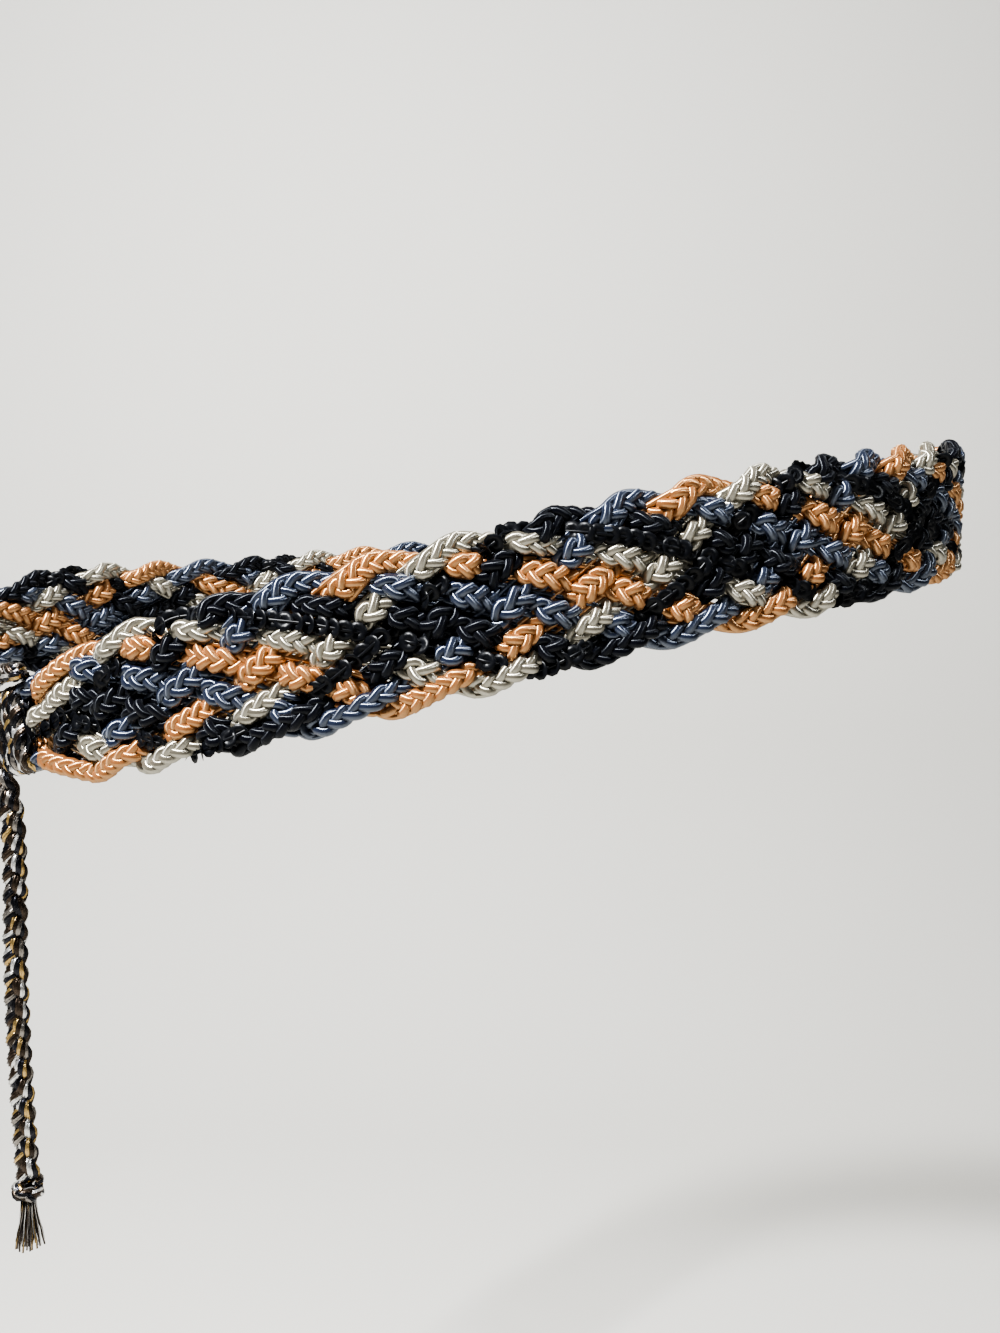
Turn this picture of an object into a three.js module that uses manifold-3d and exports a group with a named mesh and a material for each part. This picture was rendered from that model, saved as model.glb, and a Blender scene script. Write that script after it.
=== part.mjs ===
// Braided cord belt, worn round the hips: a flat plait of ten strands, bound at both ends
// with a metallic braid that is tied at one side and hangs down in two tails.
// Millimetres. The origin is the middle of the hips. +X is the wearer's side where the
// belt rides highest, -Y is the front that shows, and +Z is up.
import * as THREE from 'three';
import { mergeVertices } from 'three/addons/utils/BufferGeometryUtils.js';
import Module from 'manifold-3d';

const wasm = await Module();
wasm.setup();

// The loop that the middle of the belt follows, seen from above: an ellipse round the hips
// that leaves it in two straight stretches towards the tie.
const HIP_HALF_WIDTH = 191;
const HIP_HALF_DEPTH = 123;
const LEAVES_HIP_AT_X = -155;
const FRONT_STRAIGHT = 9;
const BACK_STRAIGHT = 86;

// How high the middle of the belt rides, by distance along it from its front end.
const RISE = [
  { along: 0, height: -38 },
  { along: 80, height: -19 },
  { along: 160, height: 1 },
  { along: 240, height: 20.5 },
  { along: 320, height: 34 },
  { along: 400, height: 43 },
  { along: 480, height: 42 },
  { along: 560, height: 31 },
  { along: 674, height: 13 },
  { along: 800, height: 0 },
  { along: 927, height: -6 },
];

// The plait. Each way over and under is one crossing of a falling and a rising strand. The
// strands run steeper across the middle and turn roundly at the edges.
const HALF_HEIGHT = 22.5;
const EDGE_ROUNDING = 0.35;
const EDGE_HALF_WIDTH = 4.2;
const LAYER = 3.0;
const GAP = 0.7;
const FALL_RUN = 110;
const END_NARROWING = 0.34;
const END_NARROWING_RUN = 40;

// The strands in the order in which they reach the top edge, with the step to the next.
const STRANDS = [
  { colour: 'ivory', step: 17 },
  { colour: 'sequin', step: 17 },
  { colour: 'black', step: 25 },
  { colour: 'navy', step: 25 },
  { colour: 'peach', step: 25 },
];
const SETS = 2;

// Where the ivory strands reach the top edge, from the first one before the front end.
const REPEAT_TOPS = [-52, 63, 176, 273, 355, 447, 549, 655, 762, 870, 978];
const FIRST_REPEAT = -1;

// How far the middle of the plait runs ahead of its edges, as it was pulled in the hand,
// and how much more so below the middle than above it.
const BOW = [
  { along: -40, ahead: -4 },
  { along: 0, ahead: 0 },
  { along: 30, ahead: 4 },
  { along: 60, ahead: 12 },
  { along: 90, ahead: 15 },
  { along: 150, ahead: 11 },
  { along: 210, ahead: 6.5 },
  { along: 280, ahead: 1 },
  { along: 340, ahead: 0 },
  { along: 927, ahead: 0 },
];
const BOW_SKEW = 0.3;

// Crossings near the binding of the front end, set by hand: how far up each one is moved, and
// whether the two strands change places. At the lower corner the peach strand runs along the
// edge, over the navy one. Above it the ivory strand shows all the way to the binding.
const CORNER_CROSSINGS = [
  { falling: -7, rising: 3, up: 2.7, swapped: false },
  { falling: -7, rising: 2, up: 0, swapped: true },
  { falling: -6, rising: 3, up: -2.5, swapped: true },
  { falling: -6, rising: 2, up: -5, swapped: false },
  { falling: -5, rising: 0, up: 3, swapped: false },
  { falling: -4, rising: 0, up: 0, swapped: true },
  { falling: -3, rising: -1, up: 3, swapped: true },
  { falling: -1, rising: -1, up: -3, swapped: false },
];
const CORNER_SLIMMING = 0.75;

// Crossings all along the plait where a sequin strand lies on top out of turn: the strand that
// falls, and how many strands after it the one that rises comes.
const SEQUINS_ON_TOP = [
  { falling: 'ivory', later: 6 },
  { falling: 'sequin', later: 3 },
];

const COLOURS = {
  ivory: { colour: 0xe4dfca, roughness: 0.42, metalness: 0 },
  sequin: { colour: 0x0b0e12, roughness: 0.15, metalness: 0.2 },
  black: { colour: 0x16161d, roughness: 0.4, metalness: 0 },
  navy: { colour: 0x333d60, roughness: 0.4, metalness: 0 },
  peach: { colour: 0xe09a62, roughness: 0.42, metalness: 0 },
  metallic: { colour: 0x6d675c, roughness: 0.45, metalness: 0.5 },
};

// The bindings and the ties.
const BINDING_TURNS = 3;
const TURN_WIDTH = 8;
const BINDING_HALF_HEIGHT = 16.5;
const BINDING_HALF_THICKNESS = 5.6;
const TURN_BULGE = 1.3;
const END_GAP = 0.4;
const TIE_DIAMETER = 9;
const TIE_SIDES = 8;
const TIE_STEP = 20;
const KNOT_CENTRE = [-208, -22, -44];
const KNOT_HALF_SIZES = [12, 11, 13];
const END_KNOT_RADIUS = 6.5;
const END_KNOT_HEIGHT = 11;
const KNOT_SHOULDER = 0.7;
const KNOT_SLOPE = 1;
const BRUSH_LENGTH = 22;
const BRUSH_TOP_RADIUS = 3.5;
const BRUSH_END_RADIUS = 6;
const ROUND_SIDES = 12;
const KNOT_RINGS = 10;

// Routes chosen by hand, from the binding to the knot and from the knot to the free end.
const FRONT_LEAD = [
  [-166, -70, -18.5],
  [-174, -62.5, -19],
  [-184, -51, -22],
  [-193, -41, -28],
  [-199.5, -32.5, -34],
];
const BACK_LEAD = [
  [-238, -2.3, -7.5],
  [-243, -6.8, -8.5],
  [-244, -12, -15],
  [-237, -15.5, -25],
  [-228, -18, -32.5],
  [-219.8, -20, -37.5],
];
const FRONT_TAIL = [
  [-201, -23, -56],
  [-195.5, -24, -66],
  [-192, -25, -82],
  [-191.8, -25, -110],
  [-192.9, -25, -142],
  [-193, -25, -175],
  [-192.3, -25, -205],
  [-191.5, -25, -236],
];
const BACK_TAIL = [
  [-213, -21.5, -57.5],
  [-219, -22, -70],
  [-223, -22, -92],
  [-224, -22, -120],
  [-223.5, -22, -150],
  [-224, -22, -180],
  [-224, -22, -212],
];

// A smooth curve through rows of numbers, straight on beyond its ends.
function smoothThrough(xs, ys, x) {
  const last = xs.length - 1;
  let i = 0;
  while (i < last - 1 && x > xs[i + 1]) i += 1;
  const slope = (n) => {
    const a = Math.max(n - 1, 0);
    const b = Math.min(n + 1, last);
    return (ys[b] - ys[a]) / (xs[b] - xs[a]);
  };
  if (x < xs[0]) return ys[0] + slope(0) * (x - xs[0]);
  if (x > xs[last]) return ys[last] + slope(last) * (x - xs[last]);
  const run = xs[i + 1] - xs[i];
  const t = (x - xs[i]) / run;
  const start = (1 + 2 * t) * (1 - t) ** 2 * ys[i] + t * (1 - t) ** 2 * run * slope(i);
  const finish = t ** 2 * (3 - 2 * t) * ys[i + 1] + t ** 2 * (t - 1) * run * slope(i + 1);
  return start + finish;
}

// The ellipse, measured along from the point where the front straight meets it.
const HIP_STEPS = 2000;
const leaveAngle = Math.acos(LEAVES_HIP_AT_X / HIP_HALF_WIDTH);
const hipPoints = [];
for (let i = 0; i <= HIP_STEPS; i += 1) {
  const angle = -leaveAngle + (2 * leaveAngle * i) / HIP_STEPS;
  hipPoints.push(new THREE.Vector2(HIP_HALF_WIDTH * Math.cos(angle), HIP_HALF_DEPTH * Math.sin(angle)));
}
const hipAlong = [0];
for (let i = 1; i <= HIP_STEPS; i += 1) {
  hipAlong.push(hipAlong[i - 1] + hipPoints[i].distanceTo(hipPoints[i - 1]));
}
const HIP_RUN = hipAlong[HIP_STEPS];
const BELT_LENGTH = FRONT_STRAIGHT + HIP_RUN + BACK_STRAIGHT;
const frontDirection = hipPoints[1].clone().sub(hipPoints[0]).normalize();
const backDirection = hipPoints[HIP_STEPS].clone().sub(hipPoints[HIP_STEPS - 1]).normalize();

function planPoint(along) {
  const onHip = along - FRONT_STRAIGHT;
  if (onHip <= 0) return hipPoints[0].clone().addScaledVector(frontDirection, onHip);
  if (onHip >= HIP_RUN) return hipPoints[HIP_STEPS].clone().addScaledVector(backDirection, onHip - HIP_RUN);
  let low = 0;
  let high = HIP_STEPS;
  while (high - low > 1) {
    const middle = (low + high) >> 1;
    if (hipAlong[middle] <= onHip) low = middle;
    else high = middle;
  }
  const t = (onHip - hipAlong[low]) / (hipAlong[high] - hipAlong[low]);
  return hipPoints[low].clone().lerp(hipPoints[high], t);
}

const riseAlong = RISE.map((row) => row.along);
const riseHeight = RISE.map((row) => row.height);
const bowAlong = BOW.map((row) => row.along);
const bowAhead = BOW.map((row) => row.ahead);
const HALF_SPAN = 0.5;

function beltPoint(along) {
  const plan = planPoint(along);
  return new THREE.Vector3(plan.x, plan.y, smoothThrough(riseAlong, riseHeight, along));
}

// The belt's own directions at a place along it: ahead, up across it, and out from the hips.
function beltFrame(along) {
  const origin = beltPoint(along);
  const ahead = beltPoint(along + HALF_SPAN).sub(beltPoint(along - HALF_SPAN)).normalize();
  const out = new THREE.Vector3(ahead.y, -ahead.x, 0).normalize();
  const up = new THREE.Vector3().crossVectors(out, ahead).normalize();
  return { origin, ahead, out, up };
}

// A place given along the belt, up from its middle line and out from its middle surface.
function onBelt(along, up, out) {
  const frame = beltFrame(along);
  return frame.origin.addScaledVector(frame.up, up).addScaledVector(frame.out, out);
}

// The belt is plaited narrower close to its bindings.
function narrowing(along) {
  const fromEnd = Math.max(0, Math.min(along, BELT_LENGTH - along));
  const t = Math.min(fromEnd / END_NARROWING_RUN, 1);
  return 1 - END_NARROWING * (1 - t * t * (3 - 2 * t));
}

// A strand reaches the top edge at its phase, and the bottom edge one phase later. In
// between it falls, crossing the rising strands, and then rises, crossing the falling ones.
const repeatRun = STRANDS.reduce((sum, strand) => sum + strand.step, 0);

function phaseOf(index) {
  const repeat = Math.floor(index / STRANDS.length);
  let run = 0;
  for (let i = 0; i < index - repeat * STRANDS.length; i += 1) run += STRANDS[i].step;
  return repeat + run / repeatRun;
}

function topAt(phase) {
  const last = REPEAT_TOPS.length - 1;
  const row = Math.min(Math.max(Math.floor(phase) - FIRST_REPEAT, 0), last - 1);
  const t = phase - FIRST_REPEAT - row;
  return REPEAT_TOPS[row] + t * (REPEAT_TOPS[row + 1] - REPEAT_TOPS[row]);
}

const STRAND_COUNT = STRANDS.length * SETS;
const risePart = (index) => (phaseOf(index) * FALL_RUN) / SETS;
const fallPart = (index) => topAt(phaseOf(index)) - risePart(index);

const cornerCrossing = (k, j) => CORNER_CROSSINGS.find((it) => it.falling === k && it.rising === j);

// Where falling strand k crosses rising strand j, along the belt and up from its middle.
function crossing(k, j) {
  const share = 1 - (phaseOf(j) - phaseOf(k)) * (2 / SETS);
  const rounded = Math.sin((Math.PI / 2) * share);
  const shift = cornerCrossing(k, j)?.up ?? 0;
  const up = HALF_HEIGHT * (share + EDGE_ROUNDING * (rounded - share)) + shift;
  const along = fallPart(k) + risePart(j);
  const inMiddle = (1 - share ** 2) * (1 - BOW_SKEW * share);
  return new THREE.Vector2(along + inMiddle * smoothThrough(bowAlong, bowAhead, along), up);
}

// One ring of a strand's section: its lower side, back, upper side and face. The strands
// are drawn thinner where the belt narrows.
function ring(centre, lower, upper, layer, size) {
  const place = (flat, out) => onBelt(flat.x, flat.y * narrowing(flat.x), out);
  const reach = size.width * narrowing(centre.x);
  return [
    place(centre.clone().lerp(lower, reach), layer),
    place(centre, layer - size.halfThickness),
    place(centre.clone().lerp(upper, reach), layer),
    place(centre, layer + size.halfThickness),
  ];
}

function halfWayTo(point, other) {
  return point.clone().lerp(other, 0.5);
}

// The strands are drawn slimmer at the crossings that are set by hand.
function sizeAt(k, j, size) {
  return cornerCrossing(k, j) ? { ...size, width: size.width * CORNER_SLIMMING } : size;
}

// How far out the falling strand k passes over the rising strand j, or how far in under it.
function fallingLayer(k, j) {
  const usual = (j - k) % 2 === 0 ? LAYER : -LAYER;
  const { colour } = STRANDS[THREE.MathUtils.euclideanModulo(k, STRANDS.length)];
  const sequinsOnTop = SEQUINS_ON_TOP.some((it) => it.falling === colour && it.later === j - k);
  const swapped = sequinsOnTop || cornerCrossing(k, j)?.swapped;
  return swapped ? -usual : usual;
}

// The rings of one strand over one fall and rise that starts at the top edge.
function strandRings(first, size) {
  const rings = [];
  const bottom = first + STRAND_COUNT;
  const top = crossing(first, first);
  const underTop = halfWayTo(top, crossing(first - 1, first + 1));
  const aboveTop = new THREE.Vector2(top.x, top.y + EDGE_HALF_WIDTH);
  rings.push({ at: top.x, points: ring(top, underTop, aboveTop, 0, size) });
  for (let step = 1; step < STRAND_COUNT; step += 1) {
    const partner = first + step;
    const centre = crossing(first, partner);
    const lower = halfWayTo(centre, crossing(first - 1, partner));
    const upper = halfWayTo(centre, crossing(first + 1, partner));
    const layer = fallingLayer(first, partner);
    const slimmed = sizeAt(first, partner, size);
    rings.push({ at: centre.x, points: ring(centre, lower, upper, layer, slimmed) });
  }
  const low = crossing(first, bottom);
  const overLow = halfWayTo(low, crossing(first + 1, bottom - 1));
  const belowLow = new THREE.Vector2(low.x, low.y - EDGE_HALF_WIDTH);
  rings.push({ at: low.x, points: ring(low, belowLow, overLow, 0, size) });
  for (let step = 1; step < STRAND_COUNT; step += 1) {
    const partner = first + step;
    const centre = crossing(partner, bottom);
    const lower = halfWayTo(centre, crossing(partner, bottom + 1));
    const upper = halfWayTo(centre, crossing(partner, bottom - 1));
    const layer = -fallingLayer(partner, bottom);
    const slimmed = sizeAt(partner, bottom, size);
    rings.push({ at: centre.x, points: ring(centre, lower, upper, layer, slimmed) });
  }
  return rings;
}

// A closed solid through rings of points that run round it, all with the same count.
function loft(rings) {
  const sides = rings[0].length;
  const positions = rings.flat().flatMap((p) => [p.x, p.y, p.z]);
  const index = [];
  for (let r = 0; r < rings.length - 1; r += 1) {
    for (let s = 0; s < sides; s += 1) {
      const a = r * sides + s;
      const b = r * sides + ((s + 1) % sides);
      index.push(a, b, b + sides, a, b + sides, a + sides);
    }
  }
  const lastRing = (rings.length - 1) * sides;
  for (let s = 1; s < sides - 1; s += 1) {
    index.push(0, s + 1, s);
    index.push(lastRing, lastRing + s, lastRing + s + 1);
  }
  const geometry = new THREE.BufferGeometry();
  geometry.setAttribute('position', new THREE.Float32BufferAttribute(positions, 3));
  geometry.setIndex(index);
  return geometry;
}

const MERGE_WITHIN = 1e-4;

function toManifold(geometry) {
  const plain = geometry.clone();
  plain.deleteAttribute('normal');
  plain.deleteAttribute('uv');
  const merged = mergeVertices(plain, MERGE_WITHIN);
  return new wasm.Manifold(new wasm.Mesh({
    numProp: 3,
    vertProperties: new Float32Array(merged.attributes.position.array),
    triVerts: new Uint32Array(merged.index.array),
  }));
}

function fromManifold(solid) {
  const mesh = solid.getMesh();
  const geometry = new THREE.BufferGeometry();
  geometry.setAttribute('position', new THREE.BufferAttribute(new Float32Array(mesh.vertProperties), 3));
  geometry.setIndex(new THREE.BufferAttribute(new Uint32Array(mesh.triVerts), 1));
  return geometry;
}

// A block that takes off what sticks out past one end of the belt.
const CUT_LENGTH = 50;
const CUT_HEIGHT = 90;
const CUT_THICKNESS = 30;

function endBlock(along, direction) {
  const frame = beltFrame(along);
  const block = new THREE.BoxGeometry(CUT_LENGTH, CUT_HEIGHT, CUT_THICKNESS);
  const turn = new THREE.Matrix4().makeBasis(frame.ahead, frame.up, frame.out);
  const middle = frame.origin.clone().addScaledVector(frame.ahead, (direction * CUT_LENGTH) / 2);
  block.applyMatrix4(turn.setPosition(middle));
  return toManifold(block);
}

const endBlocks = [endBlock(0, -1), endBlock(BELT_LENGTH, 1)];
const OVERSHOOT = 30;
const SIZES = {
  cord: { width: 0.86, halfThickness: LAYER - GAP / 2 },
  sequin: { width: 0.8, halfThickness: 2.2 },
};

function strandGeometry(order, colour) {
  const size = colour === 'sequin' ? SIZES.sequin : SIZES.cord;
  const end = BELT_LENGTH + OVERSHOOT;
  const rings = [];
  for (let first = order - 2 * STRAND_COUNT; topAt(phaseOf(first)) < end; first += STRAND_COUNT) {
    rings.push(...strandRings(first, size));
  }
  const kept = rings.filter((row) => row.at > -OVERSHOOT && row.at < end);
  let solid = toManifold(loft(kept.map((row) => row.points)));
  for (const block of endBlocks) solid = solid.subtract(block);
  return fromManifold(solid);
}

// A binding: turns of braid round the end of the belt, with a rounded ridge for each turn.
const BINDING_SIDE_POINTS = 5;
const STEPS_PER_TURN = 4;

function bindingSection(frame, bulge) {
  const halfThickness = BINDING_HALF_THICKNESS + bulge;
  const straight = BINDING_HALF_HEIGHT - BINDING_HALF_THICKNESS;
  const points = [];
  for (const end of [1, -1]) {
    for (let i = 0; i < BINDING_SIDE_POINTS; i += 1) {
      const angle = (Math.PI * i) / (BINDING_SIDE_POINTS - 1);
      const out = end * halfThickness * Math.cos(angle);
      const up = end * (straight + halfThickness * Math.sin(angle));
      points.push(frame.origin.clone().addScaledVector(frame.up, up).addScaledVector(frame.out, out));
    }
  }
  return points;
}

function bindingGeometry(from, direction) {
  const rings = [];
  const steps = BINDING_TURNS * STEPS_PER_TURN;
  for (let i = 0; i <= steps; i += 1) {
    const away = END_GAP + (TURN_WIDTH * i) / STEPS_PER_TURN;
    const bulge = TURN_BULGE * Math.abs(Math.sin((Math.PI * i) / STEPS_PER_TURN));
    rings.push(bindingSection(beltFrame(from + direction * away), bulge));
  }
  if (direction > 0) rings.reverse();
  return loft(rings);
}

// A tie: a round braid as a plain tube through the points of its route.
function tieGeometry(route) {
  const curve = new THREE.CatmullRomCurve3(route.map((p) => new THREE.Vector3(...p)), false, 'centripetal');
  const section = new THREE.Shape();
  for (let i = 0; i < TIE_SIDES; i += 1) {
    const angle = (2 * Math.PI * (i + 0.5)) / TIE_SIDES;
    const x = (TIE_DIAMETER / 2) * Math.cos(angle);
    const y = (TIE_DIAMETER / 2) * Math.sin(angle);
    if (i === 0) section.moveTo(x, y);
    else section.lineTo(x, y);
  }
  const steps = Math.max(4, Math.ceil(curve.getLength() / TIE_STEP));
  return new THREE.ExtrudeGeometry(section, { steps, extrudePath: curve, bevelEnabled: false });
}

function knotGeometry() {
  const geometry = new THREE.SphereGeometry(1, ROUND_SIDES, KNOT_RINGS);
  geometry.scale(...KNOT_HALF_SIZES);
  geometry.translate(...KNOT_CENTRE);
  return geometry;
}

// The end of a tail: a round knot, and under it a short brush of the loose threads.
function tailEndGeometry(route) {
  const end = new THREE.Vector3(...route.at(-1));
  const shoulder = END_KNOT_RADIUS * KNOT_SHOULDER;
  const brushEnd = -END_KNOT_HEIGHT - BRUSH_LENGTH;
  const profile = [
    new THREE.Vector2(0, brushEnd),
    new THREE.Vector2(BRUSH_END_RADIUS, brushEnd),
    new THREE.Vector2(BRUSH_TOP_RADIUS, -END_KNOT_HEIGHT - KNOT_SLOPE),
    new THREE.Vector2(shoulder, -END_KNOT_HEIGHT),
    new THREE.Vector2(END_KNOT_RADIUS, -END_KNOT_HEIGHT / 2),
    new THREE.Vector2(shoulder, -KNOT_SLOPE),
    new THREE.Vector2(0, 0),
  ];
  const geometry = new THREE.LatheGeometry(profile, ROUND_SIDES);
  geometry.rotateX(Math.PI / 2);
  geometry.translate(end.x, end.y, end.z - END_GAP);
  return geometry;
}

function addPiece(group, name, geometry, finish) {
  geometry.computeVertexNormals();
  const { colour, roughness, metalness } = COLOURS[finish];
  const material = new THREE.MeshStandardMaterial({ color: colour, roughness, metalness });
  const mesh = new THREE.Mesh(geometry, material);
  mesh.name = name;
  group.add(mesh);
}

const belt = new THREE.Group();

for (let order = 0; order < STRAND_COUNT; order += 1) {
  const { colour } = STRANDS[order % STRANDS.length];
  const set = Math.floor(order / STRANDS.length) + 1;
  const name = colour === 'sequin' ? `sequin_strand_${set}` : `strand_${colour}_${set}`;
  addPiece(belt, name, strandGeometry(order, colour), colour);
}

addPiece(belt, 'binding_front', bindingGeometry(0, -1), 'metallic');
addPiece(belt, 'binding_back', bindingGeometry(BELT_LENGTH, 1), 'metallic');
addPiece(belt, 'tie_front_lead', tieGeometry(FRONT_LEAD), 'metallic');
addPiece(belt, 'tie_back_lead', tieGeometry(BACK_LEAD), 'metallic');
addPiece(belt, 'tie_knot', knotGeometry(), 'metallic');
addPiece(belt, 'tie_front_tail', tieGeometry(FRONT_TAIL), 'metallic');
addPiece(belt, 'tie_back_tail', tieGeometry(BACK_TAIL), 'metallic');
addPiece(belt, 'tail_end_front', tailEndGeometry(FRONT_TAIL), 'metallic');
addPiece(belt, 'tail_end_back', tailEndGeometry(BACK_TAIL), 'metallic');

export default belt;
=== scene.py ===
"""Braided cord belt, worn as a tilted loop and tied at one side.

The plait's strands, its sequins, the bindings and the ties are made along paths that are
worked out from a few driving sizes. Lengths are in metres.
"""

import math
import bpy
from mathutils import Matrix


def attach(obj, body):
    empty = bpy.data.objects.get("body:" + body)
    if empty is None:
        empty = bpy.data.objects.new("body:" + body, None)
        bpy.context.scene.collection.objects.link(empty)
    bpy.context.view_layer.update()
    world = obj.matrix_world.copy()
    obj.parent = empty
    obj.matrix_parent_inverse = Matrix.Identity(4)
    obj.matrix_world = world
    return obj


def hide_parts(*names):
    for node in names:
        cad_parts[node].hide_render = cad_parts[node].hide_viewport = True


bl_info = {
    "name": "Braided Cord Belt",
    "version": (1, 0, 0),
    "blender": (4, 5, 0),
    "location": "3D View > Sidebar > Belt",
    "description": "Makes a flat plait of satin cord braids with sequins, its bindings and its ties",
    "category": "Add Mesh",
}

import bmesh
import bpy
import numpy as np
from mathutils import Vector

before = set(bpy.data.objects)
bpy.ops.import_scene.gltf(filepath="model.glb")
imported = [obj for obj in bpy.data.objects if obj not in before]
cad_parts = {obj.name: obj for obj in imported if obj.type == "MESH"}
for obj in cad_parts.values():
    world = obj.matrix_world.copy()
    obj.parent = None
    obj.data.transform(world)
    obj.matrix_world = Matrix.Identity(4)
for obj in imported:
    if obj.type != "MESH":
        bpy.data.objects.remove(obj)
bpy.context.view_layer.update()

MM = 0.001
TURN = 2 * math.pi

# The loop that the middle of the belt follows, seen from above
HIP_HALF_WIDTH = 191 * MM
HIP_HALF_DEPTH = 123 * MM
LEAVES_HIP_AT_X = -155 * MM
FRONT_STRAIGHT = 9 * MM
BACK_STRAIGHT = 86 * MM

# How high the middle of the belt rides, by distance along it
RISE_ALONG = np.array([0, 80, 160, 240, 320, 400, 480, 560, 674, 800, 927]) * MM
RISE_HEIGHT = np.array([-38, -19, 1, 20.5, 34, 43, 42, 31, 13, 0, -6]) * MM

# The plait. Its strands turn roundly at the edges.
HALF_HEIGHT = 22.5 * MM
EDGE_ROUNDING = 0.35
LAYER = 3.0 * MM
FALL_RUN = 110 * MM
END_NARROWING = 0.34
END_NARROWING_RUN = 40 * MM
STRAND_STEPS = (("ivory", 17), ("sequin", 17), ("black", 25), ("navy", 25), ("peach", 25))
SETS = 2
STRAND_COUNT = len(STRAND_STEPS) * SETS
REPEAT_TOPS = np.array([-52, 63, 176, 273, 355, 447, 549, 655, 762, 870, 978]) * MM
FIRST_REPEAT = -1
INTO_BINDING = 3 * MM
EDGE_ROOM = 4.2 * MM

# How far the plait's middle runs ahead of its edges, and how much more so below the middle
BOW_ALONG = np.array([-40, 0, 30, 60, 90, 150, 210, 280, 340, 927]) * MM
BOW_AHEAD = np.array([-4, 0, 4, 12, 15, 11, 6.5, 1, 0, 0]) * MM
BOW_SKEW = 0.3

# Crossings near the binding of the front end, listed one by one. At the lower corner the peach strand
# runs along the edge, over the navy one. Above it the ivory strand shows all the way to the binding.
CORNER_SHIFTS = {
    (-7, 3): 2.7 * MM,
    (-6, 3): -2.5 * MM,
    (-6, 2): -5 * MM,
    (-5, 0): 3 * MM,
    (-3, -1): 3 * MM,
    (-1, -1): -3 * MM,
}
CORNER_SWAPS = {(-7, 2), (-6, 3), (-4, 0), (-3, -1)}

# Crossings all along the plait where a sequin strand lies on top out of turn: the strand that
# falls, and how many strands after it the one that rises comes
SEQUINS_ON_TOP = {("ivory", 6), ("sequin", 3)}

# The bindings. The squareness makes their turns lie flat on the belt's faces, and the lean is how
# much their braid faces up or down at the belt's edges.
BINDING_TURNS = 3
TURN_WIDTH = 8 * MM
TURN_SQUARENESS = 1.6
TURN_STEPS = 64
EDGE_LEAN = 0.6
BINDING_START = 0.4 * MM
BINDING_HALF_HEIGHT = 13.2 * MM
BINDING_HALF_THICKNESS = 3.0 * MM

# The core under the turns, and its rings' places along them and sizes, as shares
CORE_HALF_HEIGHT = BINDING_HALF_HEIGHT - 1 * MM
CORE_HALF_THICKNESS = BINDING_HALF_THICKNESS + 0.6 * MM
CORE_RINGS = ((0.05, 1.0), (0.92, 1.0), (0.98, 0.8), (1.0, 0.4))
CORE_SIDES = 24

# The metallic braid: its thickness in the tails, its step, its size in other places as a share of
# that, the grooves between its yarns as a share of a ply's radius, and the yarns' turns in radians
# a metre
TIE_STEP = 1.1 * MM
BINDING_SIZE = 0.95
LEAD_SIZE = 0.76
KNOT_SIZE = 0.86
END_KNOT_SIZE = 0.62
YARN_DEPTH = 0.1
YARN_TWIST = 300.0

# The ties, by the same points as the solids
ROUTE_STEPS = 12
KNOT_CENTRE = np.array([-208, -22, -44]) * MM
KNOT_LOBE = 2.7 * MM
KNOT_POINTS = 181
FRONT_LEAD = np.array([
    [-166, -70, -18.5], [-174, -62.5, -19], [-184, -51, -22], [-193, -41, -28], [-199.5, -32.5, -34],
]) * MM
BACK_LEAD = np.array([
    [-238, -2.3, -7.5], [-243, -6.8, -8.5], [-244, -12, -15], [-237, -15.5, -25], [-228, -18, -32.5],
    [-219.8, -20, -37.5],
]) * MM
FRONT_TAIL = np.array([
    [-201, -23, -56], [-195.5, -24, -66], [-192, -25, -82], [-191.8, -25, -110], [-192.9, -25, -142],
    [-193, -25, -175], [-192.3, -25, -205], [-191.5, -25, -236],
]) * MM
BACK_TAIL = np.array([
    [-213, -21.5, -57.5], [-219, -22, -70], [-223, -22, -92], [-224, -22, -120], [-223.5, -22, -150],
    [-224, -22, -180], [-224, -22, -212],
]) * MM

# The tails' ends. A short braid is wound round each one on its way down, and below it hangs a
# brush of yarns in rings. Each ring has its share of the brush's radius, its number of yarns and
# its share of the spread.
END_GAP = 0.4 * MM
END_KNOT_RADIUS = 6.5 * MM
END_KNOT_HEIGHT = 11 * MM
END_KNOT_INSET = 2.6 * MM
END_KNOT_TURNS = 1.35
END_KNOT_POINTS = 60
END_KNOT_DROP = END_KNOT_HEIGHT - 5.4 * MM
BRUSH_TOP = END_KNOT_HEIGHT - 2 * MM
BRUSH_LENGTH = 22 * MM
BRUSH_RADIUS = 2.6 * MM
BRUSH_SPREAD = 3.2 * MM
BRUSH_RINGS = ((0.0, 1, 0.0), (0.35, 7, 0.4), (0.7, 13, 0.75), (1.0, 19, 1.0))
YARN_RADIUS = 0.42 * MM
YARN_SIDES = 5
YARN_POINTS = 7
YARN_WAVINESS = 0.25 * MM
YARN_OUT_OF_LINE = 0.12
SHORTEST_YARN = 0.86

# The camera, at the photograph's place and angle
CAMERA_PLACE = Vector((8 * MM, -461 * MM, 18 * MM))
CAMERA_PITCH_DOWN = math.radians(5)
CAMERA_SENSOR = 36.0
CAMERA_LENS = 29.2


# Paths

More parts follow.
